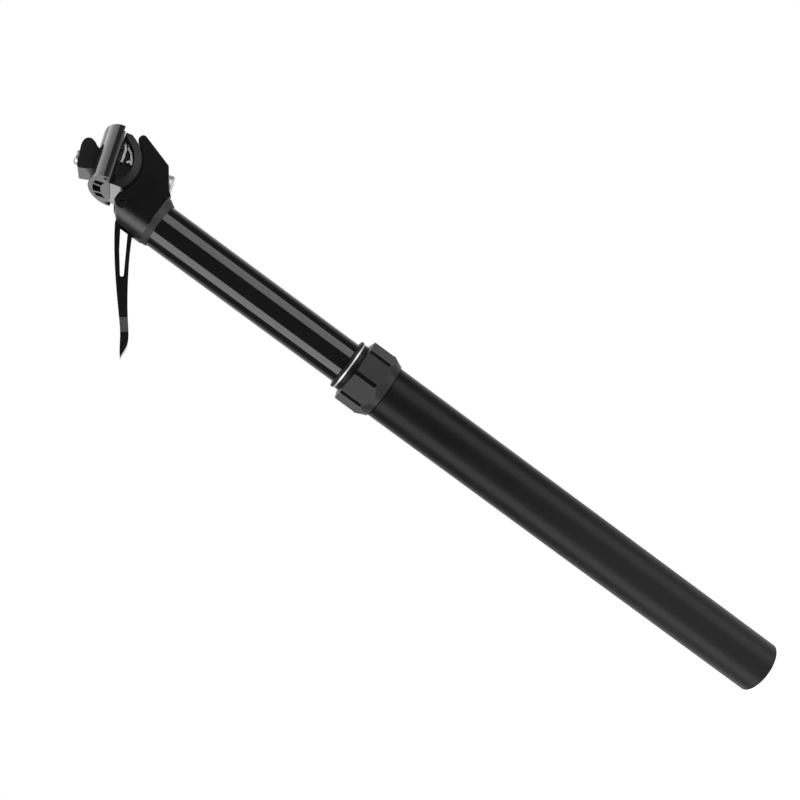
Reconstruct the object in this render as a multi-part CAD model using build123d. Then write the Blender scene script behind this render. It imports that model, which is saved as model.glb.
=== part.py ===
"""Dropper seatpost: a sliding post with a gas cartridge, a release lever under the saddle
and a saddle clamp on one bolt.

Millimetres. The origin is the centre of the outer tube's lower end. +Z runs up the post,
+X points to the bike's front and +Y to the bike's left. The post stands fully extended.
"""
import os
from math import cos, radians, sqrt

from build123d import *

# General fits
overrun = 2.0          # how far a cutting shape runs past the face that it cuts
slide_gap = 0.05       # radial clearance of a sliding or turning fit
free_gap = 0.4         # clearance of a piece that moves without touching

# Outer tube
tube_d = 31.6          # the size that the bike's frame takes
tube_wall = 2.0
tube_length = 269.8    # lower end to the collar's lower face
tube_edge = 0.6        # chamfer inside the lower end and at the upper shoulder
tube_r = tube_d / 2
bore_r = tube_r - tube_wall

# Seal collar, screwed on the outer tube's neck
collar_height = 21.0
collar_flat_count = 8
collar_flat_over = 2.15        # flats beyond the tube's skin
collar_turn = 30.0             # degrees from +X to one corner of the collar
collar_foot_over = 0.8         # foot beyond the tube's skin
collar_foot_height = 6.7       # cone from the foot up to the full corner radius
collar_top_over = 0.2          # upper edge beyond the tube's skin
collar_top_chamfer = 1.5
collar_groove_width = 2.3
collar_groove_depth = 1.1
collar_lip = 1.6               # turned-in wall that holds the wiper
neck_length = 13.5
neck_r = tube_r - tube_edge    # threaded neck of the outer tube
collar_flat_r = tube_r + collar_flat_over
collar_foot_r = tube_r + collar_foot_over
collar_top_r = tube_r + collar_top_over
collar_corner_r = collar_flat_r / cos(radians(180 / collar_flat_count))
collar_low = tube_length
collar_top = collar_low + collar_height
neck_top = tube_length + neck_length

# Stanchion
stanchion_inset = 3.3          # its skin inside the tube's
stanchion_wall = 2.0
travel = 120.0
spare_stroke = 4.0             # bare stanchion left when the post is fully down
stanchion_r = tube_r - stanchion_inset
stanchion_bore_r = stanchion_r - stanchion_wall

# Wiper seal, its bright ring, the oil ring and the upper bush
wiper_proud = 5.5              # wiper above the collar
wiper_body_thick = 1.9         # body beyond the stanchion
wiper_lip_thick = 2.5          # lip beyond the stanchion
wiper_lip_height = 1.3
wiper_lip_rise = 0.7           # slope of the lip towards the stanchion
wiper_flange_height = 2.2
wiper_ring_over = 2.35         # ring's outside beyond the stanchion
wiper_ring_height = 0.9
wiper_ring_depth = 0.9
wiper_ring_up = 3.0            # ring above the collar
oil_ring_height = 2.4
upper_bushing_length = 20.0
wiper_body_r = stanchion_r + wiper_body_thick
wiper_lip_r = stanchion_r + wiper_lip_thick
wiper_ring_r = stanchion_r + wiper_ring_over
wiper_top = collar_top + wiper_proud

# Lower end: plug, circlip, rod clip and bumper
plug_low = 4.2
plug_height = 10.0
circlip_height = 1.2
circlip_width = 2.2
circlip_seat = 0.6             # depth of the groove in the tube
circlip_gap = 6.0
bumper_height = 5.0
bumper_inset = 4.3             # bumper inside the tube's bore
rod_clip_height = 1.2
bumper_r = bore_r - bumper_inset
plug_top = plug_low + plug_height
bumper_top = plug_top + bumper_height
stanchion_low = bumper_top + free_gap + travel

# Lower bush and guide keys on the stanchion
lower_bushing_up = 6.0         # bush above the stanchion's lower end
lower_bushing_length = 20.0
bushing_seat = 0.5             # groove depth in the stanchion
key_count = 3
key_up = 32.0
key_length = 20.0
key_width = 5.0
key_sink = 1.0                 # depth of the key's pocket in the stanchion
key_reach = 0.8                # depth of the key in the tube's groove

# Gas cartridge, some of it in shares of the pressure tube's radius
nut_up = 0.8
nut_height = 9.0
cartridge_gap = 0.6            # between cartridge and stanchion
cartridge_wall = 1.0
pressure_gap = 0.9             # between pressure tube and cartridge tube
pressure_wall = 1.0
rod_share = 0.5
rod_stud_share = 0.325
rod_clip_share = 0.7
rod_seal_share = 0.775
nut_bore_share = 0.625
pin_share = 0.2875
pin_head_share = 0.425
guide_height = 10.0
guide_spigot = 3.0
rod_seal_height = 2.5
rod_seal_up = 4.0
piston_height = 8.0
piston_rest_gap = 0.3
piston_seal_height = 2.4
piston_seal_depth = 1.3
valve_height = 10.0            # part of the valve housing inside the pressure tube
valve_ring_height = 1.8
valve_ring_depth = 0.9
pin_head_height = 2.0
pin_length = 17.0
cartridge_r = stanchion_bore_r - cartridge_gap
pressure_r = cartridge_r - cartridge_wall - pressure_gap
rod_r = pressure_r * rod_share
rod_stud_r = pressure_r * rod_stud_share
rod_clip_r = pressure_r * rod_clip_share
rod_seal_r = pressure_r * rod_seal_share
nut_bore_r = pressure_r * nut_bore_share
pin_r = pressure_r * pin_share
pin_head_r = pressure_r * pin_head_share
nut_low = stanchion_low + nut_up
cartridge_low = nut_low + nut_height
guide_top = cartridge_low + guide_height
piston_low = guide_top + guide_spigot + piston_rest_gap
pressure_bore_r = pressure_r - pressure_wall

# Crown, the head of the inner post
crown_foot_height = 3.7        # cone ring at the crown's foot
crown_foot_over = 0.4          # its lower edge beyond the stanchion
crown_foot_back_over = 2.7     # its upper edge beyond the stanchion at the rear
crown_foot_step = 0.25         # the crown stands this far over the cone ring
crown_over = 1.3               # front half-round and flat sides beyond the stanchion
crown_shoulder_up = 17.7       # top of the upright front
crown_nose_x = 5.6
crown_nose_up = 25.9
crown_heel_back = 26.4         # rear lower corner
crown_heel_up = 14.3
crown_slope_back = 15.4        # where the rear slope starts
crown_slope_up = 6.0
crown_ear_root_back = 25.2     # where the ear leaves the cradle
crown_ear_back = 32.6
crown_ear_up = 34.7
crown_ear_width = 3.9
crown_ear_rise = 1.2
crown_ear_round = 2.1
crown_edge = 0.4
socket_depth = 7.2             # stanchion inside the crown
spigot_length = 12.0           # crown inside the stanchion
spigot_wall = 1.9
roof_height = 3.1              # metal over the stanchion's end
crown_r = stanchion_r + crown_over
crown_foot_r = stanchion_r + crown_foot_over
crown_foot_back = stanchion_r + crown_foot_back_over
crown_low = wiper_top + travel + spare_stroke
crown_body_low = crown_low + crown_foot_height
stanchion_top = crown_low + socket_depth
spigot_low = stanchion_top - spigot_length
roof_top = stanchion_top + roof_height
spigot_bore_r = stanchion_bore_r - spigot_wall
cartridge_neck_r = spigot_bore_r - slide_gap
valve_low = spigot_low - valve_height

# Cradle and saddle clamp
cradle_x = -8.8
cradle_up = 42.1
drum_r = 19.0
clamp_tilt = 19.5              # degrees, rails down towards the front
tilt_up = 2.0                  # degrees of travel, nose up
tilt_down = 12.0               # degrees of travel, nose down
bridge_thickness = 6.4         # metal of the crown under the drum
cradle_z = crown_low + cradle_up
cradle_r = drum_r + slide_gap
bridge_r = cradle_r + bridge_thickness

rail_d = 7.0
rail_spacing = 44.0
rail_drop = 6.6                # rail centres below the cradle's centre
clamp_joint_drop = 6.15        # joint between the two clamps, below the cradle's centre
clamp_split = 0.5              # gap between the two clamps
lower_clamp_front = 13.5
lower_clamp_rear = 15.85
lower_clamp_width = 38.0       # its flanks lie inside the rails
upper_clamp_front = 13.0
upper_clamp_rear = 16.2
upper_clamp_width = 53.0
upper_clamp_arch = 54.6        # full width of the arch's ellipse, cut off at the clamp's width
upper_clamp_height = 11.8
upper_clamp_edge = 0.5
rail_r = rail_d / 2
lower_clamp_top = -(clamp_joint_drop + clamp_split / 2)
upper_clamp_low = -(clamp_joint_drop - clamp_split / 2)

side_rim_r = 18.5              # drum outside the crown
side_rim_bevel = 1.5           # bevel of the rim, measured across the bike
side_pocket_rim = 3.7          # thickness of the rim beside the pocket
side_pocket_front = 8.2
side_pocket_rear = 12.0
side_pocket_depth = 5.5
side_pocket_roof = 0.7         # wall between the pocket and the joint
side_rib_width = 1.1
side_rib_height = 1.5

nose_rim = 2.6
nose_side_rim = 3.9            # wall beside the fan of pockets
nose_hub_width = 32.0
nose_hub_height = 4.9
nose_pocket_width = 28.4
nose_pocket_depth = 5.5
nose_rib_width = 2.3
nose_rib_spacing = 13.2
nose_rib_middle = 6.3          # height at which the ribs have their spacing
nose_rib_lean = 13.0           # degrees

boss_width = 20.0
boss_length = 17.6
boss_height = 8.0              # above the clamp's crest
boss_round = 1.0

bolt_d = 8.0
bolt_length = 45.0
bolt_head_r = 6.5
bolt_head_height = 8.0
bolt_socket = 6.0              # across flats
bolt_socket_depth = 4.0
bolt_end_chamfer = 0.7
bolt_head_chamfer = 0.5
tilt_washer_height = 3.0
tilt_washer_length = 12.6
tilt_washer_width = 13.0
bolt_r = bolt_d / 2
bolt_seat = bridge_r + slide_gap + tilt_washer_height

# Lever and its pivot
pivot_x = 4.7
pivot_up = 21.8
pivot_r = 2.5
pivot_head_r = 3.0
pivot_head_height = 1.4
pivot_sink = 0.5
pivot_socket = 2.5             # across flats
pivot_socket_depth = 1.0
lever_slope = 36.1             # degrees below the horizontal, pointing forwards
lever_reach = 81.8             # pivot to tip
lever_thickness = 6.0
lever_hub_r = 3.9
lever_depth = 4.0              # half the blade's height at its root
lever_slot_round = 0.85
paddle_width = 9.6
paddle_round = 2.6
cam_back = 4.7                 # cam behind the pivot
cam_down = 7.5
cam_r = 2.2
cam_room = 1.2                 # free space behind the cam
lever_room_ramp = 7.4          # length over which the lever's slot rises behind the crown's front
washer_height = 0.45
washer_r = 4.2
pivot_z = crown_low + pivot_up
slot_half = lever_thickness / 2 + washer_height + slide_gap
cam_low_z = pivot_z - cam_down - cam_r

# Lever outline, from the root to the tip: along the reach, and across in lever_depth
lever_top_shares = [(0.10, 0.86), (0.25, 0.93), (0.45, 0.76), (0.73, 0.25), (0.83, 0.1), (0.95, 0.16)]
lever_bottom_shares = [(0.95, -0.45), (0.92, -0.76), (0.86, -0.98), (0.78, -0.93), (0.62, -0.83),
                       (0.44, -0.92), (0.2, -1.36), (0.1, -1.75)]
lever_tip_share = 0.12
lever_slot_shares = [(0.1, 0.12), (0.28, 0.28), (0.462, 0.16), (0.462, -0.3), (0.18, -0.78), (0.1, -0.95)]
paddle_flare_shares = (0.73, 0.83)

# Threaded boss seen from the side, its front and its curved back: along its length, and up from the crest
boss_front_shares = [(-0.25, -0.3), (0.28, -0.3), (0.42, 0.3), (0.463, 0.86), (0.224, 1.0)]
boss_back_shares = [(-0.19, 1.06), (-0.37, 1.03), (-0.49, 0.89), (-0.54, 0.64), (-0.49, 0.33), (-0.38, 0.08)]

# Stiffening ribs on the web of the lower clamp: along the rear of the pocket, and down its height
side_rib_shares = [[(0.98, 0.12), (0.61, 0.26), (0.27, 0.26), (0.05, 0.23)],
                   [(0.98, 0.3), (0.72, 0.43), (0.54, 0.66), (0.21, 0.81), (0.05, 0.83)],
                   [(0.21, 0.74), (0.1, 0.54)]]


# Shapes shared by many pieces

def disc(radius, low, high):
    """Upright round bar."""
    return Pos(0, 0, low) * extrude(Circle(radius), high - low)


def ring(outer, inner, low, high):
    """Upright round ring."""
    return Pos(0, 0, low) * extrude(Circle(outer) - Circle(inner), high - low)


def turned(points):
    """Solid turned about Z from an outline of radius and height."""
    return revolve(Plane.XZ * make_face(Polyline(*points, close=True)), Axis.Z)


def outline(points):
    """Closed outline through the points."""
    return make_face(Polyline(*points, close=True))


def rounded(face, corners, radius):
    """The face with the corners nearest to the given points made round."""
    chosen = [face.vertices().sort_by_distance((across, up, 0))[0] for across, up in corners]
    return fillet(chosen, radius)


def side_plate(face, half_width):
    """An outline of X and Z, given its thickness across the bike."""
    return extrude(Plane.XZ * face, half_width, both=True)


def cross_bar(radius, half_width, across=0, up=0):
    """Round bar along Y."""
    return side_plate(Pos(across, up) * Circle(radius), half_width)


def clamp_frame(tilt):
    """Place of the saddle clamp at a tilt in degrees: X along the rails, Z along the bolt."""
    return Pos(cradle_x, 0, cradle_z) * Rot(0, tilt, 0)


# Outer post

def outer_tube():
    """Tube with a threaded neck, grooves for the keys and a groove for the circlip."""
    body = turned([
        (bore_r, tube_edge),
        (bore_r + tube_edge, 0),
        (tube_r, 0),
        (tube_r, tube_length - tube_edge),
        (neck_r, tube_length),
        (neck_r, neck_top),
        (bore_r, neck_top),
    ])
    groove_depth = key_reach + free_gap / 2
    groove_top = stanchion_low + key_up + key_length + free_gap
    stand = (Align.CENTER, Align.CENTER, Align.MIN)
    groove = Pos(bore_r, 0, 0) * Box(2 * groove_depth, key_width + 2 * slide_gap, groove_top, align=stand)
    for turn in range(key_count):
        body -= Rot(0, 0, 360 / key_count * turn) * groove
    seat = ring(bore_r + circlip_seat, bore_r - overrun, plug_low - circlip_height, plug_low)
    return body - seat


def seal_collar():
    """Eight-sided collar, coned at the foot, with an upright groove at each corner."""
    body = turned([
        (neck_r, collar_low),
        (collar_foot_r, collar_low),
        (collar_corner_r, collar_low + collar_foot_height),
        (collar_corner_r, collar_top - collar_top_chamfer),
        (collar_top_r, collar_top),
        (wiper_body_r, collar_top),
        (wiper_body_r, collar_top - collar_lip),
        (neck_r, collar_top - collar_lip),
    ])
    corner = RegularPolygon(collar_corner_r, collar_flat_count)
    body &= Pos(0, 0, collar_low) * Rot(0, 0, collar_turn) * extrude(corner, collar_height)
    groove_low = collar_low + collar_foot_height
    stand = (Align.CENTER, Align.CENTER, Align.MIN)
    groove = Pos(collar_corner_r, 0, groove_low) * Box(
        2 * collar_groove_depth, collar_groove_width, collar_height, align=stand
    )
    for corner_number in range(collar_flat_count):
        body -= Rot(0, 0, collar_turn + 360 / collar_flat_count * corner_number) * groove
    return body


def wiper_seal():
    """Rubber wiper with a flange under the collar's lip and a seat for the bright ring."""
    inner = stanchion_r + slide_gap
    lip_low = wiper_top - wiper_lip_rise - wiper_lip_height
    ring_low = collar_top + wiper_ring_up - wiper_ring_height / 2
    body = turned([
        (inner, collar_top - collar_lip - wiper_flange_height),
        (neck_r, collar_top - collar_lip - wiper_flange_height),
        (neck_r, collar_top - collar_lip),
        (wiper_body_r, collar_top - collar_lip),
        (wiper_body_r, lip_low),
        (wiper_lip_r, lip_low),
        (wiper_lip_r, lip_low + wiper_lip_height),
        (inner, wiper_top),
    ])
    seat = ring(
        wiper_body_r + overrun, wiper_ring_r - wiper_ring_depth, ring_low, ring_low + wiper_ring_height
    )
    return body - seat


def wiper_ring():
    """Thin bright ring round the wiper."""
    low = collar_top + wiper_ring_up - wiper_ring_height / 2
    return ring(wiper_ring_r, wiper_ring_r - wiper_ring_depth, low, low + wiper_ring_height)


def oil_ring():
    """Felt ring soaked with oil, between the wiper and the neck."""
    low = collar_top - collar_lip - wiper_flange_height - oil_ring_height
    return ring(neck_r, stanchion_r + slide_gap, low, low + oil_ring_height)


def upper_bushing():
    """Glide bush in the neck."""
    return ring(bore_r, stanchion_r + slide_gap, neck_top - upper_bushing_length, neck_top)


def bottom_plug():
    """Plug that carries the cartridge's rod."""
    return ring(bore_r, rod_stud_r, plug_low, plug_top)


def open_ring(outer, inner, low, height, gap):
    """Flat ring with a gap towards +X."""
    body = ring(outer, inner, low, low + height)
    return body - Pos(outer, 0, low + height / 2) * Box(2 * outer, gap, 2 * height)


def plug_circlip():
    """Circlip that holds the plug."""
    outer = bore_r + circlip_seat
    inner = bore_r - circlip_width
    return open_ring(outer, inner, plug_low - circlip_height, circlip_height, circlip_gap)


def rod_clip():
    """Clip on the rod's end, under the plug."""
    inner = rod_stud_r - slide_gap
    return open_ring(rod_clip_r, inner, plug_low - rod_clip_height, rod_clip_height, 2 * rod_stud_r)


def bottom_bumper():
    """Rubber stop for the inner post."""
    return ring(bumper_r, rod_r, plug_top, bumper_top)


def piston_rod():
    """Rod with a thin stud at each end."""
    stud_low = plug_low - 2 * rod_clip_height
    rod = disc(rod_r, plug_top, piston_low) + disc(rod_stud_r, stud_low, piston_low + piston_height)
    clip_seat = ring(rod_stud_r + overrun, rod_stud_r - slide_gap, plug_low - rod_clip_height, plug_low)
    return rod - clip_seat


def piston_seal_low():
    """Height of the seal's lower face on the piston."""
    return piston_low + (piston_height - piston_seal_height) / 2


def piston():
    """Piston with a groove for its seal."""
    outer = pressure_bore_r - slide_gap
    low = piston_seal_low()
    groove = ring(outer + overrun, outer - piston_seal_depth, low, low + piston_seal_height)
    return ring(outer, rod_stud_r, piston_low, piston_low + piston_height) - groove


def piston_seal():
    """Ring seal of the piston."""
    outer = pressure_bore_r - slide_gap
    low = piston_seal_low()
    return ring(outer, outer - piston_seal_depth, low, low + piston_seal_height)


# Inner post

def key_block(depth, width, low, high):
    """Upright block on the stanchion's skin, from its pocket out to the given depth."""
    inner = stanchion_r - key_sink
    return Pos(inner, 0, low) * Box(
        depth, width, high - low, align=(Align.MIN, Align.CENTER, Align.MIN)
    )


def stanchion():
    """Inner tube with a seat for the lower bush and pockets for the keys."""
    body = ring(stanchion_r, stanchion_bore_r, stanchion_low, stanchion_top)
    bush_low = stanchion_low + lower_bushing_up
    bush_top = bush_low + lower_bushing_length
    body -= ring(stanchion_r + overrun, stanchion_r - bushing_seat, bush_low, bush_top)
    key_low = stanchion_low + key_up
    pocket = key_block(key_sink + overrun, key_width, key_low, key_low + key_length)
    for turn in range(key_count):
        body -= Rot(0, 0, 360 / key_count * turn) * pocket
    return body


def lower_bushing():
    """Glide bush on the stanchion's lower end."""
    low = stanchion_low + lower_bushing_up
    return ring(bore_r - slide_gap, stanchion_r - bushing_seat, low, low + lower_bushing_length)


def guide_keys():
    """Brass keys that stop the post turning."""
    low = stanchion_low + key_up
    depth = bore_r + key_reach - (stanchion_r - key_sink)
    key = key_block(depth, key_width, low, low + key_length)
    return Compound([Rot(0, 0, 360 / key_count * turn) * key for turn in range(key_count)])


def cartridge_nut():
    """Ring nut in the stanchion's lower end."""
    return ring(stanchion_bore_r, nut_bore_r, nut_low, cartridge_low)


def cartridge_tube():
    """Outer cylinder with a neck that enters the crown."""
    inner = cartridge_r - cartridge_wall
    return turned([
        (inner, cartridge_low),
        (cartridge_r, cartridge_low),
        (cartridge_r, spigot_low),
        (cartridge_neck_r, spigot_low),
        (cartridge_neck_r, stanchion_top),
        (pressure_bore_r, stanchion_top),
        (pressure_bore_r, spigot_low - cartridge_wall),
        (inner, spigot_low - cartridge_wall),
    ])


def pressure_tube():
    """Inner cylinder in which the piston runs."""
    return ring(pressure_r, pressure_bore_r, guide_top, spigot_low - cartridge_wall)


def rod_guide():
    """Lower closing piece with a bore for the rod and a seat for its seal."""
    outer = cartridge_r - cartridge_wall
    body = ring(outer, rod_r + slide_gap, cartridge_low, guide_top)
    body += ring(pressure_bore_r, rod_r + slide_gap, guide_top, guide_top + guide_spigot)
    low = cartridge_low + rod_seal_up
    return body - disc(rod_seal_r, low, low + rod_seal_height)


def rod_seal():
    """Seal round the rod."""
    low = cartridge_low + rod_seal_up
    return ring(rod_seal_r, rod_r + slide_gap, low, low + rod_seal_height)


def valve_seal_places():
    """Lower faces of the valve housing's two ring seals."""
    return (valve_low + valve_height / 4, spigot_low + spigot_length / 2)


def valve_body():
    """Valve housing with a stepped bore for the release pin."""
    body = ring(pressure_bore_r, pin_r + slide_gap, valve_low, stanchion_top)
    for low in valve_seal_places():
        body -= ring(
            pressure_bore_r + overrun, pressure_bore_r - valve_ring_depth, low, low + valve_ring_height
        )
    head_seat = pin_top() - pin_length + pin_head_height + free_gap
    return body - disc(pin_head_r + slide_gap, valve_low - overrun, head_seat)


def valve_ring_low():
    """Ring seal between valve housing and pressure tube."""
    low = valve_seal_places()[0]
    return ring(pressure_bore_r, pressure_bore_r - valve_ring_depth, low, low + valve_ring_height)


def valve_ring_high():
    """Ring seal between valve housing and cartridge neck."""
    low = valve_seal_places()[1]
    return ring(pressure_bore_r, pressure_bore_r - valve_ring_depth, low, low + valve_ring_height)


def pin_top():
    """Height of the release pin's top, just under the lever's cam."""
    return cam_low_z - 2 * slide_gap


def valve_pin():
    """Release pin with a wider lower end."""
    top = pin_top()
    low = top - pin_length
    return disc(pin_r, low, top) + disc(pin_head_r, low, low + pin_head_height)


def crown_outline():
    """The crown seen from the side."""
    ear_x = -crown_ear_back
    ear_z = crown_low + crown_ear_up
    lip_drop = cradle_up - crown_nose_up
    root = crown_ear_root_back + cradle_x
    return [
        (crown_r, crown_body_low),
        (crown_r, crown_low + crown_shoulder_up),
        (crown_nose_x, crown_low + crown_nose_up),
        (cradle_x + sqrt(cradle_r ** 2 - lip_drop ** 2), crown_low + crown_nose_up),
        (-crown_ear_root_back, cradle_z - sqrt(cradle_r ** 2 - root ** 2)),
        (ear_x + crown_ear_width, ear_z + crown_ear_rise),
        (ear_x, ear_z),
        (-crown_heel_back, crown_low + crown_heel_up),
        (-crown_slope_back, crown_low + crown_slope_up),
        (-crown_r, crown_body_low),
    ]


def crown_foot():
    """Cone ring between the stanchion and the crown."""
    low_edge = Pos(0, 0, crown_low) * Circle(crown_foot_r)
    front = crown_r - crown_foot_step
    half_length = (front + crown_foot_back) / 2
    high_edge = Pos(front - half_length, 0, crown_body_low) * Ellipse(half_length, front)
    return loft([low_edge, high_edge])


def bolt_room():
    """Slot for the bolt and open pocket for its head, over the whole tilt."""
    reach = 2 * bridge_r
    nose_up = clamp_frame(clamp_tilt - tilt_up)
    nose_down = clamp_frame(clamp_tilt + tilt_down)
    slot_side = bolt_r + free_gap
    high_corner = (Align.MAX, Align.CENTER, Align.MAX)
    low_corner = (Align.MIN, Align.CENTER, Align.MAX)
    slot = nose_up * Pos(slot_side, 0, 0) * Box(reach, 2 * slot_side, reach, align=high_corner)
    slot &= nose_down * Pos(-slot_side, 0, 0) * Box(reach, 2 * slot_side, reach, align=low_corner)
    head_side = bolt_head_r + free_gap
    pocket_width = tilt_washer_width + 2 * free_gap
    pocket = nose_up * Pos(head_side, 0, 0) * Box(reach, pocket_width, reach, align=high_corner)
    pocket -= cross_bar(bridge_r, crown_r, cradle_x, cradle_z)
    floor = disc(reach, crown_low - reach, crown_body_low + crown_edge)
    return slot + (pocket - floor)


def lever_room():
    """Slot for the lever, open to the front and the top."""
    back = -(cam_r + cam_room)
    floor_front = crown_body_low + crown_foot_height - free_gap
    return side_plate(outline([
        (crown_r + overrun, floor_front),
        (crown_r - lever_room_ramp, roof_top),
        (back, roof_top),
        (back, cradle_z),
        (crown_r + overrun, cradle_z),
    ]), slot_half)


def crown():
    """Head of the inner post: half-round front, flat sides, round cradle on top."""
    corners = crown_outline()
    face = rounded(outline(corners), corners[5:7], crown_ear_round)
    face -= Pos(cradle_x, cradle_z) * Circle(cradle_r)
    body = side_plate(face, crown_r)
    body = chamfer(body.faces().filter_by(Axis.Y).edges(), crown_edge)
    length = crown_ear_back + crown_r
    plan = Circle(crown_r) + Pos(-length / 2, 0) * Rectangle(length, 2 * crown_r)
    body &= Pos(0, 0, crown_low) * extrude(plan, cradle_up)
    body += crown_foot()
    body += disc(stanchion_r, crown_body_low, roof_top)
    body -= ring(stanchion_r, stanchion_bore_r, crown_low - overrun, stanchion_top)
    body += ring(stanchion_bore_r, spigot_bore_r, spigot_low, stanchion_top)
    body -= disc(spigot_bore_r, spigot_low - overrun, stanchion_top)
    body -= disc(pin_r + slide_gap, stanchion_top, roof_top + overrun)
    body -= lever_room()
    body -= bolt_room()
    body -= cross_bar(pivot_r, crown_r + overrun, pivot_x, pivot_z)
    head_room = pivot_head_height + pivot_sink
    head_seat = Plane.XZ.offset(-crown_r - overrun) * Pos(pivot_x, pivot_z) * Circle(pivot_head_r)
    return body - extrude(head_seat, head_room + overrun)


def pivot_screw():
    """Shoulder screw through the crown, with a hexagon socket in its head."""
    head_face = crown_r - pivot_sink
    end = 2 * (crown_r - pivot_sink)
    place = Plane.XZ.offset(-head_face) * Pos(pivot_x, pivot_z)
    screw = extrude(place * Circle(pivot_head_r), pivot_head_height)
    screw += extrude(place * Circle(pivot_r), end)
    socket = RegularPolygon(pivot_socket / 2, 6, major_radius=False)
    return screw - extrude(place * socket, pivot_socket_depth)


# Lever

def lever_frame():
    """Place of the lever: X along the reach, Z across the blade."""
    return Pos(pivot_x, 0, pivot_z) * Rot(0, lever_slope, 0)


def lever_points(shares):
    """Points of the lever's outline."""
    return [(lever_reach * along, lever_depth * across) for along, across in shares]


def lever_blade():
    """Blade and paddle seen from the side, before the cam is added."""
    tip = (lever_reach, lever_depth * lever_tip_share)
    top = lever_points(lever_top_shares)
    bottom = lever_points(lever_bottom_shares)
    edge = Spline(*top, tip) + Spline(tip, *bottom) + Polyline(bottom[-1], (0, 0), top[0])
    slot = lever_points(lever_slot_shares)
    return make_face(edge) - rounded(outline(slot), slot[2:4], lever_slot_round)


def lever_plan():
    """Blade and paddle seen from above."""
    flare_start, flare_end = [share * lever_reach for share in paddle_flare_shares]
    half, wide = lever_thickness / 2, paddle_width / 2
    back = -(lever_hub_r + cam_down)
    face = outline([
        (back, half), (flare_start, half), (flare_end, wide), (lever_reach, wide),
        (lever_reach, -wide), (flare_end, -wide), (flare_start, -half), (back, -half),
    ])
    return rounded(face, [(lever_reach, wide), (lever_reach, -wide)], paddle_round)


def lever():
    """Release lever with a hub, a slotted blade, a paddle and a cam over the release pin."""
    body = lever_frame() * side_plate(lever_blade(), paddle_width)
    hub = Circle(lever_hub_r)
    cam = Pos(-cam_back, -cam_down) * Circle(cam_r)
    along, across = lever_points(lever_bottom_shares)[-1]
    root = lever_frame() * Pos(along, 0, across)
    low = (root.position.X - pivot_x, root.position.Z - pivot_z)
    web = make_hull((hub + cam).edges()) + outline([low, (-cam_back, -cam_down), (0, 0)])
    body += Pos(pivot_x, 0, pivot_z) * side_plate(web, lever_thickness / 2)
    body &= lever_frame() * extrude(Plane.XY.offset(-lever_reach) * lever_plan(), 2 * lever_reach)
    return body - cross_bar(pivot_r + slide_gap, paddle_width, pivot_x, pivot_z)


def lever_washers():
    """Two thin washers beside the lever."""
    inner = lever_thickness / 2
    face = Pos(pivot_x, pivot_z) * (Circle(washer_r) - Circle(pivot_r + slide_gap))
    left = extrude(Plane.XZ.offset(-inner - washer_height) * face, washer_height)
    right = extrude(Plane.XZ.offset(inner) * face, washer_height)
    return Compound([left, right])


# Saddle clamp, built with X along the rails and Z along the bolt, then put in its place

def rail_grooves():
    """Round bars where the saddle's rails lie."""
    length = 2 * (upper_clamp_front + upper_clamp_rear)
    bar = extrude(Plane.YZ * Circle(rail_r), length / 2, both=True)
    return [Pos(0, side * rail_spacing / 2, -rail_drop) * bar for side in (-1, 1)]


def side_ribs():
    """Stiffening ribs on the web of one side pocket, seen from the side."""
    height = side_rim_r - side_pocket_rim + lower_clamp_top
    faces = Sketch()
    for shares in side_rib_shares:
        points = [(-side_pocket_rear * back, lower_clamp_top - height * down) for back, down in shares]
        faces += trace(Polyline(*points), side_rib_width)
    return faces


def drum_segment(radius, front, rear, top):
    """The part of a drum below a level and between two ends, seen from the side."""
    return Circle(radius) & Pos((front - rear) / 2, top - radius) * Rectangle(front + rear, 2 * radius)


def bevelled_drum(half_width):
    """Drum of the side rims, bevelled from the pocket's edge outwards."""
    pocket_r = side_rim_r - side_pocket_rim
    bar = revolve(
        outline([
            (0, -half_width), (pocket_r, -half_width), (side_rim_r, side_rim_bevel - half_width),
            (side_rim_r, half_width - side_rim_bevel), (pocket_r, half_width), (0, half_width),
        ]),
        Axis.Y,
    )
    return bar


def lower_clamp():
    """Segment of a drum with hollow flanks for the rails, side pockets and a hole for the bolt."""
    half_width = lower_clamp_width / 2
    ends = (lower_clamp_front, lower_clamp_rear, lower_clamp_top)
    body = side_plate(drum_segment(side_rim_r, *ends), half_width)
    body &= bevelled_drum(half_width)
    body += side_plate(drum_segment(drum_r, *ends), crown_r + free_gap)
    roof = lower_clamp_top - side_pocket_roof
    pocket = drum_segment(side_rim_r - side_pocket_rim, side_pocket_front, side_pocket_rear, roof)
    web = half_width - side_pocket_depth
    for side in (-1, 1):
        start = Plane.XZ.offset(-side * web)
        body -= extrude(start * pocket, -side * (side_pocket_depth + overrun))
        ribs = side_ribs() & pocket
        body += extrude(start * ribs, -side * side_rib_height)
    for groove in rail_grooves():
        body -= groove
    body -= disc(bolt_r + slide_gap, -drum_r - overrun, lower_clamp_top + overrun)
    return clamp_frame(clamp_tilt) * body


def nose_pockets():
    """Fan of pockets between the clamp's rim and its hub, seen from the end."""
    rim = Ellipse(upper_clamp_arch / 2 - nose_side_rim, upper_clamp_height - nose_rim)
    hub = Ellipse(nose_hub_width / 2, nose_hub_height)
    fan = (rim - hub) & Pos(0, upper_clamp_height / 2) * Rectangle(nose_pocket_width, upper_clamp_height)
    for side in (-1, 1):
        lean = Rot(0, 0, -side * nose_rib_lean)
        place = Pos(side * nose_rib_spacing / 2, nose_rib_middle)
        fan -= place * lean * Rectangle(nose_rib_width, 2 * upper_clamp_height)
    return Pos(0, upper_clamp_low) * fan


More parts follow.
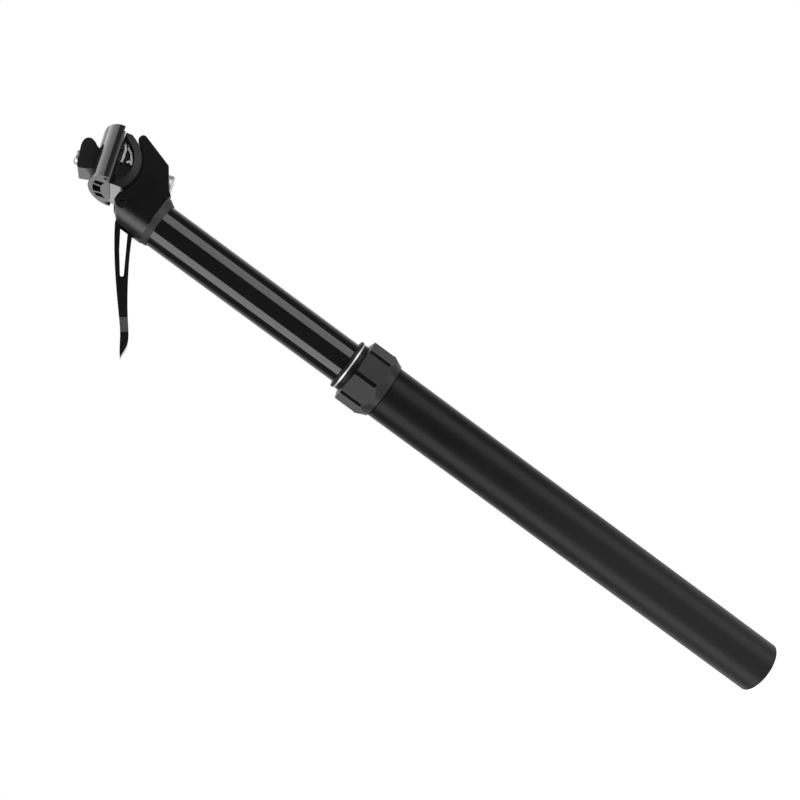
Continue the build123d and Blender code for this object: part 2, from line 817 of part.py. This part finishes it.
def boss():
    """Raised block that holds the bolt's thread."""
    crest = upper_clamp_low + upper_clamp_height
    front = [(boss_length * along, crest + boss_height * up) for along, up in boss_front_shares]
    back = [(boss_length * along, crest + boss_height * up) for along, up in boss_back_shares]
    edge = Spline(front[-1], *back) + Polyline(back[-1], *front)
    face = rounded(make_face(edge), front[3:4], boss_round)
    return side_plate(face, boss_width / 2)


def arch_outline():
    """The arch seen from the end: half an ellipse with upright ends and a small bevel below."""
    half = upper_clamp_width / 2
    frame = outline([
        (-half, upper_clamp_edge), (upper_clamp_edge - half, 0), (half - upper_clamp_edge, 0),
        (half, upper_clamp_edge), (half, upper_clamp_height), (-half, upper_clamp_height),
    ])
    return Ellipse(upper_clamp_arch / 2, upper_clamp_height) & frame


def upper_clamp():
    """Arched clamp with rail grooves, pockets in both ends and a threaded boss."""
    arch = Pos(0, upper_clamp_low) * arch_outline()
    body = extrude(Plane.YZ.offset(-upper_clamp_rear) * arch, upper_clamp_front + upper_clamp_rear)
    body += boss()
    pockets = nose_pockets()
    cut = nose_pocket_depth + overrun
    for start in (upper_clamp_front - nose_pocket_depth, -upper_clamp_rear - overrun):
        body -= extrude(Plane.YZ.offset(start) * pockets, cut)
    for groove in rail_grooves():
        body -= groove
    body -= disc(bolt_r + slide_gap, upper_clamp_low - overrun, 2 * upper_clamp_width)
    return clamp_frame(clamp_tilt) * body


def tilt_washer():
    """Washer with a round back that rocks against the crown."""
    high = -bridge_r - slide_gap
    block = Pos(0, -bolt_seat / 2) * Rectangle(tilt_washer_length, bolt_seat)
    face = block - Circle(bridge_r + slide_gap)
    body = side_plate(face, tilt_washer_width / 2)
    body -= disc(bolt_r + slide_gap, -bolt_seat - overrun, high + overrun)
    return clamp_frame(clamp_tilt) * body


def clamp_bolt():
    """Socket-head bolt that draws the two clamps and the crown together."""
    head_low = -bolt_seat - bolt_head_height
    end = bolt_length - bolt_seat
    body = turned([
        (0, head_low),
        (bolt_head_r - bolt_head_chamfer, head_low),
        (bolt_head_r, head_low + bolt_head_chamfer),
        (bolt_head_r, -bolt_seat),
        (bolt_r, -bolt_seat),
        (bolt_r, end - bolt_end_chamfer),
        (bolt_r - bolt_end_chamfer, end),
        (0, end),
    ])
    socket = Pos(0, 0, head_low) * extrude(
        RegularPolygon(bolt_socket / 2, 6, major_radius=False), bolt_socket_depth
    )
    return clamp_frame(clamp_tilt) * (body - socket)


pieces = [
    outer_tube, seal_collar, wiper_seal, wiper_ring, oil_ring, upper_bushing, bottom_plug, plug_circlip,
    rod_clip, bottom_bumper, piston_rod, piston, piston_seal, stanchion, crown, lower_bushing, guide_keys,
    cartridge_nut, cartridge_tube, pressure_tube, rod_guide, rod_seal, valve_body, valve_ring_low,
    valve_ring_high, pivot_screw, valve_pin, lever, lever_washers, lower_clamp, tilt_washer, clamp_bolt,
    upper_clamp,
]

os.makedirs("parts", exist_ok=True)
for make in pieces:
    export_step(make(), f"parts/{make.__name__}.step")
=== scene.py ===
# Dropper seatpost: finishes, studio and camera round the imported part

from math import cos, radians, sin

import bmesh
import bpy
from mathutils import Euler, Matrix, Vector

# Camera: its place in metres, its turn in degrees, its lens and sensor in millimetres
camera_place = (0.15306, 0.64371, 0.33380)
camera_turn = (79.2953, 53.1223, 157.9012)
camera_lens = 54.0
camera_sensor = 36.0

# Two tall lamps round the post: metres, watts, and degrees from the bike's front
lamp_distance = 0.80
lamp_height = 1.34
lamp_middle = 0.10
front_lamp_bearing = 19.5
front_lamp_width = 0.56
front_lamp_power = 6.5
rear_lamp_bearing = 132.5
rear_lamp_width = 0.59
rear_lamp_power = 4.75
quarter_turn = 90.0

# A wide lamp above and a small one low on the bike's left: metres, watts and degrees
top_lamp_size = (1.2, 2.0)
top_lamp_place = (0.0, -0.4, 1.8)
top_lamp_power = 16.0
low_lamp_size = (0.50, 0.30)
low_lamp_place = (0.115, 0.48, -0.11)
low_lamp_power = 0.42
low_lamp_turn = (-90.0, 0.0, -13.5)

# Floor: metres, its finish, and its glow for the camera and in gloss, where 1 is white
floor_height = -0.52
floor_radius = 2.5
floor_sides = 96
floor_colour = (0.82, 0.82, 0.82)
floor_rough = 0.9
floor_seen = 0.8
floor_mirrored = 0.4

# Backdrop: its colour, and its strength for the camera
white = (1.0, 1.0, 1.0)
backdrop_seen = 1.0

# Backdrop in reflections: its strength on the camera's side and behind the post. It rises from one to
# the other as a reflection turns along the camera's view, which at 1 it follows exactly.
backdrop_dark = 0.10
backdrop_bright = 1.0
backdrop_edge = 0.34
backdrop_full = 0.94

# Saddle clamp: centre of its drum in metres and its tilt in degrees
clamp_centre = (-0.0088, 0.0, 0.4624)
clamp_tilt = 19.5

# Lower jaw, in metres from that centre: its front face, and the ends of the ribs in its side pockets
jaw_front = 0.01345
rib_inside = 0.0137
rib_outside = 0.0152
rib_rear = -0.0117
rib_front = 0.0080
rib_reach = 0.0145
rib_top = -0.0069

# Crown: top of its foot, and where its rounded front turns into its flat sides, in metres
foot_top = 0.4241
side_start = 0.0122
side_full = 0.0137

# Entries of a mixing node for its first value, its second value and its result
number_entries = (2, 3, 0)
colour_entries = (6, 7, 2)


def link(tree, start, end):
    tree.links.new(start, end)


def feed(tree, value, entry):
    """Links a socket to an entry, or sets the entry to a number or a colour"""
    if isinstance(value, bpy.types.NodeSocket):
        link(tree, value, entry)
    elif entry.type == "RGBA":
        entry.default_value = (*value, 1.0)
    else:
        entry.default_value = value


def counted(tree, operation, first, second=0.0):
    """Sum, product or comparison of two sockets or numbers"""
    node = tree.nodes.new("ShaderNodeMath")
    node.operation = operation
    feed(tree, first, node.inputs[0])
    feed(tree, second, node.inputs[1])
    return node.outputs["Value"]


def distance(tree, first, second):
    """How far a point lies from the line where both values are zero"""
    squares = [counted(tree, "MULTIPLY", value, value) for value in (first, second)]
    return counted(tree, "SQRT", counted(tree, "ADD", *squares))


def mixed(tree, mask, first, second):
    """Number or colour that runs from first to second with a mask"""
    node = tree.nodes.new("ShaderNodeMix")
    entries = number_entries
    if not isinstance(second, float):
        node.data_type = "RGBA"
        entries = colour_entries
    link(tree, mask, node.inputs[0])
    feed(tree, first, node.inputs[entries[0]])
    feed(tree, second, node.inputs[entries[1]])
    return node.outputs[entries[2]]


def stretched(tree, value, start, end, low=0.0, high=1.0):
    """Number that runs from low to high while a value runs from start to end"""
    node = tree.nodes.new("ShaderNodeMapRange")
    node.inputs["From Min"].default_value = start
    node.inputs["From Max"].default_value = end
    node.inputs["To Min"].default_value = low
    node.inputs["To Max"].default_value = high
    link(tree, value, node.inputs["Value"])
    return node.outputs["Result"]


def noise(tree, place, scale, detail, roughness):
    """Soft random pattern over a place in space, or along a single number"""
    node = tree.nodes.new("ShaderNodeTexNoise")
    entry = "Vector"
    if place.type == "VALUE":
        node.noise_dimensions = "1D"
        entry = "W"
    node.inputs["Detail"].default_value = detail
    node.inputs["Roughness"].default_value = roughness
    link(tree, place, node.inputs[entry])
    link(tree, scale, node.inputs["Scale"])
    return node.outputs["Fac"]


def axes(tree, place):
    """The three coordinates of a place"""
    node = tree.nodes.new("ShaderNodeSeparateXYZ")
    link(tree, place, node.inputs["Vector"])
    return node.outputs


def tilted(tree, place, centre, tilt):
    """Place measured from a centre, along axes tilted by degrees towards the bike's front"""
    node = tree.nodes.new("ShaderNodeMapping")
    node.vector_type = "TEXTURE"
    node.inputs["Location"].default_value = centre
    node.inputs["Rotation"].default_value = (0.0, radians(tilt), 0.0)
    link(tree, place, node.inputs["Vector"])
    return node.outputs["Vector"]


def started_group(name, numbers, results):
    """Node group that takes a place and some numbers, with their usual values, and gives numbers"""
    group = bpy.data.node_groups.new(name, "ShaderNodeTree")
    group.interface.new_socket(name="Vector", in_out="INPUT", socket_type="NodeSocketVector")
    for number, usual in numbers.items():
        made = group.interface.new_socket(name=number, in_out="INPUT", socket_type="NodeSocketFloat")
        made.default_value = usual
    for result in results:
        group.interface.new_socket(name=result, in_out="OUTPUT", socket_type="NodeSocketFloat")
    given = group.nodes.new("NodeGroupInput").outputs
    wanted = group.nodes.new("NodeGroupOutput").inputs
    return group, given, wanted


def grain_group():
    """Fine grain of a blasted or moulded face, with slow patches under it"""
    numbers = {"Grains per metre": 2500.0, "Patches per metre": 45.0}
    group, given, wanted = started_group("surface grain", numbers, ("Height", "Patches"))
    grain = noise(group, given["Vector"], given["Grains per metre"], detail=3.0, roughness=0.6)
    patches = noise(group, given["Vector"], given["Patches per metre"], detail=4.0, roughness=0.55)
    link(group, grain, wanted["Height"])
    link(group, stretched(group, patches, start=0.35, end=0.65), wanted["Patches"])
    return group


def turning_group():
    """Rings that a cutting tool leaves round an upright axis"""
    numbers = {"Rings per metre": 4000.0}
    group, given, wanted = started_group("turning marks", numbers, ("Height", "Shade"))
    along, across, up = axes(group, given["Vector"])
    line = counted(group, "ADD", distance(group, along, across), up)
    marks = noise(group, line, given["Rings per metre"], detail=3.0, roughness=0.7)
    link(group, marks, wanted["Height"])
    link(group, stretched(group, marks, start=0.3, end=0.7), wanted["Shade"])
    return group


def jaw_group():
    """Masks for the front face of the lower jaw and for the ribs in its two side pockets, where the
    ribs carry a painted highlight
    """
    group, given, wanted = started_group("jaw regions", {}, ("Front", "Rib highlights"))
    along, across, up = axes(group, tilted(group, given["Vector"], clamp_centre, clamp_tilt))
    side = counted(group, "ABSOLUTE", across)
    limits = (
        ("GREATER_THAN", side, rib_inside),
        ("LESS_THAN", side, rib_outside),
        ("GREATER_THAN", along, rib_rear),
        ("LESS_THAN", along, rib_front),
        ("LESS_THAN", distance(group, along, up), rib_reach),
        ("LESS_THAN", up, rib_top),
    )
    rib_highlights = 1.0
    for operation, value, limit in limits:
        rib_highlights = counted(group, "MULTIPLY", rib_highlights, counted(group, operation, value, limit))
    link(group, counted(group, "GREATER_THAN", along, jaw_front), wanted["Front"])
    link(group, rib_highlights, wanted["Rib highlights"])
    return group


def crown_group():
    """Masks for the flat sides and for the foot of the crown, where the foot also gets a painted
    reflection
    """
    group, given, wanted = started_group("crown regions", {}, ("Sides", "Foot"))
    place = axes(group, given["Vector"])
    side = counted(group, "ABSOLUTE", place["Y"])
    link(group, stretched(group, side, side_start, side_full), wanted["Sides"])
    link(group, counted(group, "LESS_THAN", place["Z"], foot_top), wanted["Foot"])
    return group


def placed_group(tree, group, place, numbers):
    """Group put in a material, with the material's own numbers"""
    node = tree.nodes.new("ShaderNodeGroup")
    node.node_tree = group
    link(tree, place, node.inputs["Vector"])
    for name, number in numbers.items():
        node.inputs[name].default_value = number
    return node.outputs


def object_place(tree):
    return tree.nodes.new("ShaderNodeTexCoord").outputs["Object"]


def shader_entries(material):
    return material.node_tree.nodes["Principled BSDF"].inputs


def plain_material(name):
    material = bpy.data.materials.new(name)
    material.use_nodes = True
    return material


def surfaced(material, mask, height, dark, light, rough, depth, strength):
    """Colour and roughness that run with a mask, over a bump that follows a height"""
    tree = material.node_tree
    entries = shader_entries(material)
    bump = tree.nodes.new("ShaderNodeBump")
    bump.inputs["Strength"].default_value = strength
    bump.inputs["Distance"].default_value = depth
    link(tree, height, bump.inputs["Height"])
    link(tree, bump.outputs["Normal"], entries["Normal"])
    link(tree, mixed(tree, mask, dark, light), entries["Base Color"])
    link(tree, mixed(tree, mask, *rough), entries["Roughness"])


def grained(
    name,
    dark,
    light,
    rough,
    grains_per_metre,
    depth,
    strength=0.5,
    ior=1.5,
    patches_per_metre=45.0,
):
    """Finish with a fine grain, such as blasted alloy, rubber or plastic"""
    material = plain_material(name)
    tree = material.node_tree
    numbers = {"Grains per metre": grains_per_metre, "Patches per metre": patches_per_metre}
    grain = placed_group(tree, GRAIN, object_place(tree), numbers)
    surfaced(material, grain["Patches"], grain["Height"], dark, light, rough, depth, strength)
    shader_entries(material)["IOR"].default_value = ior
    return material


def turned_metal(
    name,
    dark,
    light,
    rough,
    rings_per_metre,
    depth,
    tilt=0.0,
    centre=(0.0, 0.0, 0.0),
):
    """Bare metal with turning marks round an upright or a tilted axis"""
    material = plain_material(name)
    tree = material.node_tree
    place = tilted(tree, object_place(tree), centre, tilt)
    marks = placed_group(tree, TURNING, place, {"Rings per metre": rings_per_metre})
    surfaced(material, marks["Shade"], marks["Height"], dark, light, rough, depth, strength=0.4)
    shader_entries(material)["Metallic"].default_value = 1.0
    return material


def cover(material, name, mask, value):
    """Changes what feeds an entry of the shader to a value where a mask is full"""
    tree = material.node_tree
    entry = shader_entries(material)[name]
    link(tree, mixed(tree, mask, entry.links[0].from_socket, value), entry)


def tube_black():
    """Soft black under a thin clear layer that shows most at the tube's rims"""
    material = grained(
        "tube black",
        dark=(0.0025, 0.0025, 0.0028),
        light=(0.0040, 0.0040, 0.0044),
        rough=(0.38, 0.44),
        grains_per_metre=2600.0,
        depth=0.00002,
        ior=1.275,
    )
    entries = shader_entries(material)
    entries["Coat Weight"].default_value = 1.0
    entries["Coat Roughness"].default_value = 0.20
    entries["Coat IOR"].default_value = 1.09
    return material


def stanchion_black():
    return grained(
        "stanchion black",
        dark=(0.003, 0.003, 0.0035),
        light=(0.004, 0.004, 0.0045),
        rough=(0.06, 0.09),
        grains_per_metre=900.0,
        depth=0.000004,
        strength=0.3,
        ior=1.62,
        patches_per_metre=30.0,
    )


def collar_black():
    return grained(
        "collar black",
        dark=(0.003, 0.003, 0.0035),
        light=(0.006, 0.006, 0.0065),
        rough=(0.24, 0.30),
        grains_per_metre=3000.0,
        depth=0.00001,
        ior=1.37,
    )


def crown_black():
    """Soft black on the rounded front, smoother on the flat sides, duller on the foot, whose lighter
    colour is a painted reflection of the pale surroundings
    """
    material = grained(
        "crown black",
        dark=(0.002, 0.002, 0.0025),
        light=(0.004, 0.004, 0.0045),
        rough=(0.32, 0.38),
        grains_per_metre=3000.0,
        depth=0.00001,
        ior=1.62,
    )
    tree = material.node_tree
    regions = placed_group(tree, CROWN, object_place(tree), {})
    cover(material, "Roughness", regions["Sides"], value=0.12)
    cover(material, "Roughness", regions["Foot"], value=0.60)
    # Painted reflection: the foot's lighter colour stands in for the pale floor and backdrop that its
    # chamfer reflects
    cover(material, "Base Color", regions["Foot"], value=(0.007, 0.007, 0.0073))
    return material


def clamp_black():
    return grained(
        "clamp black",
        dark=(0.014, 0.014, 0.0145),
        light=(0.018, 0.018, 0.0185),
        rough=(0.14, 0.18),
        grains_per_metre=3000.0,
        depth=0.00001,
    )


def jaw_black():
    """Black jaw with a lighter, glossier metal front face, and ribs in the side pockets painted
    bright silver as a painted highlight
    """
    material = grained(
        "jaw black",
        dark=(0.003, 0.003, 0.0035),
        light=(0.005, 0.005, 0.0055),
        rough=(0.32, 0.38),
        grains_per_metre=3000.0,
        depth=0.00001,
        ior=1.34,
    )
    tree = material.node_tree
    regions = placed_group(tree, JAW, object_place(tree), {})
    cover(material, "Roughness", regions["Front"], value=0.14)
    cover(material, "Base Color", regions["Front"], value=(0.30, 0.30, 0.305))
    # Painted highlight: the ribs' bright silver stands in for glints of light inside the dark side
    # pockets
    cover(material, "Base Color", regions["Rib highlights"], value=(0.85, 0.85, 0.86))
    cover(material, "Roughness", regions["Rib highlights"], value=0.30)
    metal_front_and_rib_highlights = counted(tree, "MAXIMUM", regions["Front"], regions["Rib highlights"])
    link(tree, metal_front_and_rib_highlights, shader_entries(material)["Metallic"])
    return material


def screw_black():
    return turned_metal(
        "screw black",
        dark=(0.020, 0.020, 0.021),
        light=(0.030, 0.030, 0.031),
        rough=(0.30, 0.40),
        rings_per_metre=3000.0,
        depth=0.00001,
    )


def lever_black():
    return grained(
        "lever black",
        dark=(0.003, 0.003, 0.0035),
        light=(0.005, 0.005, 0.0055),
        rough=(0.14, 0.18),
        grains_per_metre=3000.0,
        depth=0.00001,
    )


def wiper_rubber():
    return grained(
        "wiper rubber",
        dark=(0.005, 0.005, 0.005),
        light=(0.008, 0.008, 0.008),
        rough=(0.46, 0.56),
        grains_per_metre=1800.0,
        depth=0.00003,
        ior=1.38,
    )


def ring_silver():
    return turned_metal(
        "ring silver",
        dark=(0.74, 0.74, 0.75),
        light=(0.86, 0.86, 0.87),
        rough=(0.50, 0.58),
        rings_per_metre=3000.0,
        depth=0.00001,
    )


def turned_steel():
    return turned_metal(
        "turned steel",
        dark=(0.42, 0.42, 0.43),
        light=(0.56, 0.56, 0.57),
        rough=(0.26, 0.38),
        rings_per_metre=3500.0,
        depth=0.00002,
    )


def bolt_steel():
    return turned_metal(
        "bolt steel",
        dark=(0.62, 0.62, 0.63),
        light=(0.76, 0.76, 0.77),
        rough=(0.42, 0.52),
        rings_per_metre=3000.0,
        depth=0.00002,
        tilt=clamp_tilt,
        centre=clamp_centre,
    )


def rod_steel():
    return turned_metal(
        "rod steel",
        dark=(0.60, 0.60, 0.61),
        light=(0.70, 0.70, 0.71),
        rough=(0.12, 0.20),
        rings_per_metre=4000.0,
        depth=0.00001,
    )


def machined_alloy():
    return turned_metal(
        "machined alloy",
        dark=(0.58, 0.59, 0.60),
        light=(0.72, 0.73, 0.74),
        rough=(0.28, 0.40),
        rings_per_metre=2500.0,
        depth=0.00002,
    )


def key_brass():
    return turned_metal(
        "key brass",
        dark=(0.68, 0.48, 0.20),
        light=(0.80, 0.60, 0.28),
        rough=(0.28, 0.40),
        rings_per_metre=2500.0,
        depth=0.00002,
    )


def glide_plastic():
    return grained(
        "glide plastic",
        dark=(0.62, 0.58, 0.47),
        light=(0.72, 0.68, 0.57),
        rough=(0.45, 0.58),
        grains_per_metre=2200.0,
        depth=0.00003,
    )


def oiled_felt():
    return grained(
        "oiled felt",
        dark=(0.30, 0.28, 0.24),
        light=(0.46, 0.43, 0.38),
        rough=(0.80, 0.95),
        grains_per_metre=1500.0,
        depth=0.0003,
        strength=0.8,
    )


def seal_rubber():
    return grained(
        "seal rubber",
        dark=(0.014, 0.014, 0.014),
        light=(0.022, 0.022, 0.022),
        rough=(0.42, 0.55),
        grains_per_metre=2000.0,
        depth=0.00003,
    )


def paint_node(node, material):
    """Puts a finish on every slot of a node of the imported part"""
    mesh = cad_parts[node].data
    if not mesh.materials:
        mesh.materials.append(material)
    for slot in range(len(mesh.materials)):
        mesh.materials[slot] = material


def paint_part():
    steel_nodes = (
        "plug_circlip",
        "rod_clip",
        "cartridge_tube",
        "pressure_tube",
        "lever_washers",
        "tilt_washer",
    )
    finishes = (
        (tube_black(), ("outer_tube",)),
        (stanchion_black(), ("stanchion",)),
        (collar_black(), ("seal_collar",)),
        (crown_black(), ("crown",)),
        (clamp_black(), ("upper_clamp",)),
        (jaw_black(), ("lower_clamp",)),
        (screw_black(), ("pivot_screw",)),
        (lever_black(), ("lever",)),
        (wiper_rubber(), ("wiper_seal", "bottom_bumper")),
        (ring_silver(), ("wiper_ring",)),
        (bolt_steel(), ("clamp_bolt",)),
        (rod_steel(), ("piston_rod", "valve_pin")),
        (turned_steel(), steel_nodes),
        (machined_alloy(), ("bottom_plug", "piston", "cartridge_nut", "rod_guide", "valve_body")),
        (key_brass(), ("guide_keys",)),
        (glide_plastic(), ("upper_bushing", "lower_bushing")),
        (oiled_felt(), ("oil_ring",)),
        (seal_rubber(), ("piston_seal", "rod_seal", "valve_ring_low", "valve_ring_high")),
    )
    for material, nodes in finishes:
        for node in nodes:
            paint_node(node, material)


def soft_lamp(name, place, size, power, turn=(0.0, 0.0, 0.0)):
    """Lamp that shines down, or turned from there by degrees"""
    lamp = bpy.data.lights.new(name, "AREA")
    lamp.shape = "RECTANGLE"
    lamp.size, lamp.size_y = size
    lamp.energy = power
    shown = bpy.data.objects.new(name, lamp)
    shown.location = place
    shown.rotation_euler = [radians(angle) for angle in turn]
    shown.visible_camera = False
    bpy.context.scene.collection.objects.link(shown)


def tall_lamp(name, bearing, width, power):
    """Upright lamp that faces the post from a bearing"""
    forwards = lamp_distance * cos(radians(bearing))
    sideways = lamp_distance * sin(radians(bearing))
    place = (forwards, sideways, lamp_middle)
    turn = (quarter_turn, 0.0, bearing + quarter_turn)
    soft_lamp(name, place, (width, lamp_height), power, turn)


def background(tree, strength):
    """White light of the world, at a number or at what a socket gives"""
    node = tree.nodes.new("ShaderNodeBackground")
    feed(tree, white, node.inputs["Color"])
    feed(tree, strength, node.inputs["Strength"])
    return node.outputs["Background"]


def backdrop():
    """White for the camera, and in reflections the same white, falling off to the camera's side"""
    world = bpy.data.worlds.new("backdrop")
    bpy.context.scene.world = world
    world.use_nodes = True
    tree = world.node_tree
    tree.nodes.clear()
    turn = Euler([radians(angle) for angle in camera_turn])
    view = turn.to_matrix() @ Vector((0.0, 0.0, -1.0))
    ahead = tree.nodes.new("ShaderNodeVectorMath")
    ahead.operation = "DOT_PRODUCT"
    ahead.inputs[1].default_value = view
    ray = tree.nodes.new("ShaderNodeTexCoord")
    link(tree, ray.outputs["Generated"], ahead.inputs[0])
    fall = stretched(
        tree,
        ahead.outputs["Value"],
        backdrop_edge,
        backdrop_full,
        backdrop_dark,
        backdrop_bright,
    )
    path = tree.nodes.new("ShaderNodeLightPath")
    choice = tree.nodes.new("ShaderNodeMixShader")
    out = tree.nodes.new("ShaderNodeOutputWorld")
    link(tree, path.outputs["Is Camera Ray"], choice.inputs[0])
    link(tree, background(tree, fall), choice.inputs[1])
    link(tree, background(tree, backdrop_seen), choice.inputs[2])
    link(tree, choice.outputs["Shader"], out.inputs["Surface"])


def floor_white():
    """Pale floor that glows for the camera, so that it melts into the backdrop, and less in gloss"""
    material = plain_material("floor white")
    tree = material.node_tree
    shader = tree.nodes["Principled BSDF"]
    feed(tree, floor_colour, shader.inputs["Base Color"])
    feed(tree, floor_rough, shader.inputs["Roughness"])
    path = tree.nodes.new("ShaderNodeLightPath")
    seen = counted(tree, "MULTIPLY", path.outputs["Is Camera Ray"], floor_seen)
    mirrored = counted(tree, "MULTIPLY", path.outputs["Is Glossy Ray"], floor_mirrored)
    glow = tree.nodes.new("ShaderNodeEmission")
    both = tree.nodes.new("ShaderNodeAddShader")
    link(tree, counted(tree, "ADD", seen, mirrored), glow.inputs["Strength"])
    link(tree, shader.outputs["BSDF"], both.inputs[0])
    link(tree, glow.outputs["Emission"], both.inputs[1])
    link(tree, both.outputs["Shader"], tree.nodes["Material Output"].inputs["Surface"])
    return material


def make_floor():
    shape = bmesh.new()
    bmesh.ops.create_circle(shape, cap_ends=True, segments=floor_sides, radius=floor_radius)
    bmesh.ops.translate(shape, verts=shape.verts, vec=(0.0, 0.0, floor_height))
    mesh = bpy.data.meshes.new("floor")
    shape.to_mesh(mesh)
    shape.free()
    shown = bpy.data.objects.new("floor", mesh)
    bpy.context.scene.collection.objects.link(shown)
    mesh.materials.append(floor_white())


def make_camera():
    camera = bpy.data.cameras.new("camera")
    camera.lens = camera_lens
    camera.sensor_width = camera_sensor
    shown = bpy.data.objects.new("camera", camera)
    shown.location = camera_place
    shown.rotation_euler = [radians(angle) for angle in camera_turn]
    bpy.context.scene.collection.objects.link(shown)
    bpy.context.scene.camera = shown


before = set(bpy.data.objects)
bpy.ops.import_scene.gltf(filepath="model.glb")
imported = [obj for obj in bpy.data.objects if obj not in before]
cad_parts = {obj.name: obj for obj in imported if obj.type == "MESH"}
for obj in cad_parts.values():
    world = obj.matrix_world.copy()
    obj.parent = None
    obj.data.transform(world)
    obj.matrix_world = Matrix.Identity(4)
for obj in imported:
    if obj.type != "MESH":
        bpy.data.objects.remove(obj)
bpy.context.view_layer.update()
bpy.context.scene.view_settings.view_transform = "Standard"

GRAIN = grain_group()
TURNING = turning_group()
JAW = jaw_group()
CROWN = crown_group()

make_camera()
paint_part()
make_floor()
backdrop()
tall_lamp("front lamp", front_lamp_bearing, front_lamp_width, front_lamp_power)
tall_lamp("rear lamp", rear_lamp_bearing, rear_lamp_width, rear_lamp_power)
soft_lamp("top lamp", top_lamp_place, top_lamp_size, top_lamp_power)
soft_lamp("low lamp", low_lamp_place, low_lamp_size, low_lamp_power, low_lamp_turn)
